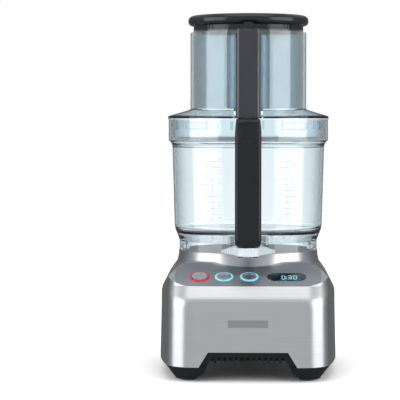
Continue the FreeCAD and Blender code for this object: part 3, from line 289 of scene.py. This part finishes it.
def number(mesh, text, angle, height, size):
    """A number printed on the bowl's wall, centred there."""
    letters = bpy.data.curves.new("number", "FONT")
    letters.body = text
    letters.size = size
    letters.align_x = "CENTER"
    letters.align_y = "CENTER"
    letters.extrude = INK / 2
    holder = bpy.data.objects.new("number", letters)
    bpy.context.collection.objects.link(holder)
    flat = bpy.data.meshes.new_from_object(holder.evaluated_get(bpy.context.evaluated_depsgraph_get()))
    first = len(mesh.verts)
    mesh.from_mesh(flat)
    mesh.verts.ensure_lookup_table()
    for vertex in mesh.verts[first:]:
        along = angle + vertex.co.x / WALL_TOP[1] * 180 / pi
        vertex.co = on_wall(along, height + vertex.co.y, vertex.co.z + INK)
    bpy.data.objects.remove(holder)
    bpy.data.curves.remove(letters)
    bpy.data.meshes.remove(flat)


def bowl_scale(mesh, middle, outward, low, pitch, count):
    """An upright line with a tick at each step, cups on its outer side, millilitres on its inner."""
    half_line = LINE / WALL_TOP[1] * 180 / pi / 2
    upright = strip(middle - half_line, middle + half_line, low, low + pitch * (count - 1))
    prism(mesh, upright, *INK_DEPTHS, on_wall)
    for step in range(count):
        height = low + pitch * step
        tick = strip(middle - TICK_REACH, middle + TICK_REACH, height - LINE / 2, height + LINE / 2, 8)
        prism(mesh, tick, *INK_DEPTHS, on_wall)
        text_height = height + pitch * TEXT_RISE
        if step % 2:
            number(mesh, str(step + 1), middle + outward * CUPS_AT, text_height, CUPS_SIZE)
        else:
            number(mesh, str(ML_PER_TICK * (step + 1)), middle - outward * ML_AT, text_height, ML_SIZE)


def scales():
    mesh = bmesh.new()
    for middle, outward in ((-27.5, -1), (30.0, 1)):
        bowl_scale(mesh, middle, outward, low=0.1895, pitch=0.0072, count=11)
    ink = moulded("scale_ink", (0.48, 0.49, 0.55), 0.5)
    piece("bowl_scales", mesh, "bowl", "clear_plastic", ink)


PANEL_MIDDLE = Vector((0.0, -0.096, 0.1229))
PANEL_TILT = radians(23)


def on_panel(u, v, depth):
    """A point by the panel's own axes: to the right, up the slope, and out of it."""
    up_slope = Vector((0.0, cos(PANEL_TILT), sin(PANEL_TILT)))
    outward = Vector((0.0, -sin(PANEL_TILT), cos(PANEL_TILT)))
    return PANEL_MIDDLE + Vector((u, 0.0, 0.0)) + up_slope * v + outward * depth


SEGMENTS = {                       # each lit bar's middle and whether it lies level, in a 1 by 2 digit
    "top": (0.0, 1.0, True), "middle": (0.0, 0.0, True), "bottom": (0.0, -1.0, True),
    "upper_left": (-0.5, 0.5, False), "upper_right": (0.5, 0.5, False),
    "lower_left": (-0.5, -0.5, False), "lower_right": (0.5, -0.5, False),
}
DIGITS = {
    "0": ("top", "bottom", "upper_left", "upper_right", "lower_left", "lower_right"),
    "3": ("top", "middle", "bottom", "upper_right", "lower_right"),
}


LIT_DEPTHS = (-0.00157, -0.00146)  # on the module's face, under the lens
DIGIT_WIDE, DIGIT_HALF_TALL = 0.0036, 0.0042
DIGIT_PITCH = DIGIT_WIDE * 1.35
DIGITS_MIDDLE = 0.0502
BAR_SHARE = 0.92                   # a bar's share of its side, which leaves gaps at the corners
BAR_HALF_WIDE = 0.00042


def bar(mesh, u, v, level, half_long, half_wide):
    """One lit bar with pointed ends."""
    tip = half_long - half_wide
    outline = [(-half_long, 0), (-tip, -half_wide), (tip, -half_wide),
               (half_long, 0), (tip, half_wide), (-tip, half_wide)]
    if not level:
        outline = [(-y, x) for x, y in outline]
    prism(mesh, [(u + x, v + y) for x, y in outline], *LIT_DEPTHS, on_panel)


def display():
    """The timer reads 0:30 in lit bars."""
    mesh = bmesh.new()
    for place, sign in ((-1.55, "0"), (0.0, "3"), (1.35, "0")):
        digit_middle = DIGITS_MIDDLE + place * DIGIT_PITCH
        for name in DIGITS[sign]:
            across, up, level = SEGMENTS[name]
            half_long = (DIGIT_WIDE if level else DIGIT_HALF_TALL) / 2 * BAR_SHARE
            bar(mesh, digit_middle + across * DIGIT_WIDE, up * DIGIT_HALF_TALL, level,
                half_long, BAR_HALF_WIDE)
    colon_middle = DIGITS_MIDDLE - 0.82 * DIGIT_PITCH
    for up in (-0.0018, 0.0018):
        bar(mesh, colon_middle, up, True, half_long=0.0007, half_wide=0.0005)
    piece("display_digits", mesh, "base", "display_lit", lit("digit_light", (0.32, 0.88, 1.0), 5.0))


RIBS_AT, RIB_PITCH, RIB_HALF_WIDE = 44.5, 4.2, 0.45        # degrees
RIB_HEIGHTS = (0.4243, 0.4296)
RIB_RADII = (0.0688, 0.0702)


def upright_ribs():
    """Ribs in the collar under the pusher's rim, either side of its two slots."""
    mesh = bmesh.new()
    for side in (-1, 1):
        for edge in (-RIB_PITCH, 0.0, RIB_PITCH):
            middle = side * RIBS_AT + edge
            rib = strip(middle - RIB_HALF_WIDE, middle + RIB_HALF_WIDE, *RIB_HEIGHTS)
            prism(mesh, rib, *RIB_RADII, around)
    piece("collar_ribs", mesh, "pusher", "black_gloss")


RIDGE_RADII = (0.1006, 0.1013)     # just sunk into the bowl's collar, and out of it
FRAMES = ((-50, -30, 0.3005, 0.3095), (24, 46, 0.2995, 0.3085))     # left, right, low, high
FRAME_SIDE = 0.7                   # degrees
UPRIGHTS = (-62, -11.5, 62, 118, 168.5, 242)
UPRIGHT_HALF_WIDE = 0.9
UPRIGHT_HEIGHTS = (0.2995, 0.3105)


def lock_ramps():
    """Raised lines on the bowl's collar where the lid's lugs turn home."""
    mesh = bmesh.new()
    for left, right, low, high in FRAMES:
        for turn in (0, 180):
            a, b = left + turn, right + turn
            for span in ((a, b, low, low + 0.0012, 12), (a, b, high - 0.001, high, 12),
                         (a, a + FRAME_SIDE, low, high), (b - FRAME_SIDE, b, low, high)):
                prism(mesh, strip(*span), *RIDGE_RADII, around)
    for middle in UPRIGHTS:
        upright = strip(middle - UPRIGHT_HALF_WIDE, middle + UPRIGHT_HALF_WIDE, *UPRIGHT_HEIGHTS, 2)
        prism(mesh, upright, *RIDGE_RADII, around)
    # The second colour is the ridges' edge colour: partly deeper tint, partly painted shade.
    ridge = clear("ridge_plastic", (0.62, 0.76, 0.82), (0.10, 0.24, 0.31), 0.05)
    piece("lock_ramps", mesh, "bowl", "clear_plastic", ridge)


SPRINGS = (                        # name, body, joint, and the height of the end that stays put
    ("column_spring", "lid", "column_rod_press", 0.328),
    ("handle_spring", "bowl", "handle_rod_press", 0.276),
    ("plunger_spring", "base", "plunger_press", 0.126),
)


def springs():
    """Each of the three springs is drawn by its own copy of the CAD mesh, on its body, in place of the CAD
    piece.
    """
    for name, body, joint, fixed_end in SPRINGS:
        coil = bpy.data.objects.new(f"{name}_coil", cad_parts[name].data.copy())
        bpy.context.collection.objects.link(coil)
        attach(coil, body)
        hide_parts(name)
        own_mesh(coil)


scales()
springs()
display()
upright_ribs()
lock_ramps()


# ---- Studio ------------------------------------------------------------------------------

FLOOR_HALF = 6.0
BACKGROUND = 1.0           # what the camera sees behind the machine, and through clear plastic
ROOM_LIGHT = 1.12          # what falls on matt surfaces from the white room
# The walls that metal and gloss mirror: share of the way from behind the camera to behind the machine.
WALLS_FRONT = (0.70, 0.71, 0.72)
WALLS_BACK = (0.14, 0.145, 0.15)
WALLS_BETWEEN = ((0.16, 0.50), (0.50, 0.42), (0.70, 0.30), (0.86, 0.14))
CEILING = (0.62, 0.63, 0.65)
CEILING_STARTS, CEILING_WHOLE = 0.18, 0.62      # the upward part of the direction


def floor():
    """A pale floor. Mirrored, it would whiten the machine's side edges, so gloss doesn't see it."""
    floor_finish = Finish("floor_paint", (0.93, 0.93, 0.93), 0.85, specular_ior_level=0.1)
    floor_finish.shade(floor_finish.noise(even(3)), 0.01)
    mesh = bmesh.new()
    bmesh.ops.create_grid(mesh, x_segments=2, y_segments=2, size=FLOOR_HALF)
    data = bpy.data.meshes.new("floor")
    mesh.to_mesh(data)
    mesh.free()
    data.materials.append(floor_finish.material)
    plane = bpy.data.objects.new("floor", data)
    bpy.context.collection.objects.link(plane)
    plane.visible_glossy = False


def room():
    """A white room to the camera. What metal mirrors is grey, darkest behind the machine."""
    world = bpy.data.worlds.new("room")
    bpy.context.scene.world = world
    world.use_nodes = True
    nodes, links = world.node_tree.nodes, world.node_tree.links
    background = nodes["Background"]
    path = nodes.new("ShaderNodeLightPath")
    direction = nodes.new("ShaderNodeTexCoord")
    parts = nodes.new("ShaderNodeSeparateXYZ")
    links.new(direction.outputs["Generated"], parts.inputs["Vector"])

    walls = nodes.new("ShaderNodeValToRGB")
    turn = nodes.new("ShaderNodeMapRange")
    links.new(parts.outputs["Y"], turn.inputs["Value"])
    turn.inputs["From Min"].default_value = -1.0
    turn.inputs["From Max"].default_value = 1.0
    links.new(turn.outputs["Result"], walls.inputs["Fac"])
    ramp = walls.color_ramp
    ramp.elements[0].position = 0.0
    ramp.elements[0].color = (*WALLS_FRONT, 1.0)
    ramp.elements[1].position = 1.0
    ramp.elements[1].color = (*WALLS_BACK, 1.0)
    for position, grey in WALLS_BETWEEN:
        ramp.elements.new(position).color = (grey, grey, grey * 1.03, 1.0)
    ceiling = nodes.new("ShaderNodeMapRange")
    links.new(parts.outputs["Z"], ceiling.inputs["Value"])
    ceiling.inputs["From Min"].default_value = CEILING_STARTS
    ceiling.inputs["From Max"].default_value = CEILING_WHOLE
    overhead = nodes.new("ShaderNodeMix")
    overhead.data_type = "RGBA"
    links.new(ceiling.outputs["Result"], overhead.inputs[0])
    lower, upper = (s for s in overhead.inputs if s.type == "RGBA")
    links.new(walls.outputs["Color"], lower)
    upper.default_value = (*CEILING, 1.0)
    mirrored = next(s for s in overhead.outputs if s.type == "RGBA")

    def choose(is_kind, otherwise, color):
        mix = nodes.new("ShaderNodeMix")
        mix.data_type = "RGBA"
        links.new(path.outputs[is_kind], mix.inputs["Factor"])
        for label, value in (("A", otherwise), ("B", color)):
            socket = next(s for s in mix.inputs if s.name == label and s.type == "RGBA")
            if isinstance(value, bpy.types.NodeSocket):
                links.new(value, socket)
            else:
                socket.default_value = (value, value, value, 1.0)
        return next(s for s in mix.outputs if s.type == "RGBA")

    seen = choose("Is Diffuse Ray", BACKGROUND, ROOM_LIGHT)
    seen = choose("Is Glossy Ray", seen, mirrored)
    seen = choose("Is Transmission Ray", seen, BACKGROUND)
    links.new(seen, background.inputs["Color"])


def softbox(name, place, aim, width, height, radiance):
    """An evenly lit panel. radiance is how bright it looks in a mirror."""
    lamp = bpy.data.lights.new(name, "AREA")
    lamp.shape = "RECTANGLE"
    lamp.size = width
    lamp.size_y = height
    lamp.energy = radiance * pi * width * height
    light = bpy.data.objects.new(name, lamp)
    light.location = place
    light.rotation_euler = (Vector(aim) - Vector(place)).to_track_quat("-Z", "Y").to_euler()
    light.visible_camera = False
    bpy.context.collection.objects.link(light)


def studio():
    middle = (0.0, 0.0, 0.2)
    for side in (-1, 1):
        softbox(f"side_{side}", (side * 1.52, -0.62, 0.45), middle, 1.5, 1.4, 2.1)
    softbox("overhead", (0.0, -0.45, 1.7), middle, 1.6, 1.1, 1.3)


EYE = Vector((0.0, -2.128, 0.318))
AIM = Vector((-0.0612, 0.018, 0.210))
BOUNCES = 32               # enough to pass through every nested clear wall


def camera():
    """The eye stands at the height of the bowl's rim, a little over two metres away."""
    lens = bpy.data.cameras.new("camera")
    lens.lens = 152.1
    lens.sensor_width = 36.0
    eye = bpy.data.objects.new("camera", lens)
    eye.location = EYE
    eye.rotation_euler = (AIM - EYE).to_track_quat("-Z", "Y").to_euler()
    bpy.context.collection.objects.link(eye)
    bpy.context.scene.camera = eye


floor()
room()
studio()
camera()

scene = bpy.context.scene
scene.view_settings.view_transform = "Standard"
scene.cycles.max_bounces = BOUNCES
scene.cycles.transmission_bounces = BOUNCES
scene.cycles.transparent_max_bounces = BOUNCES
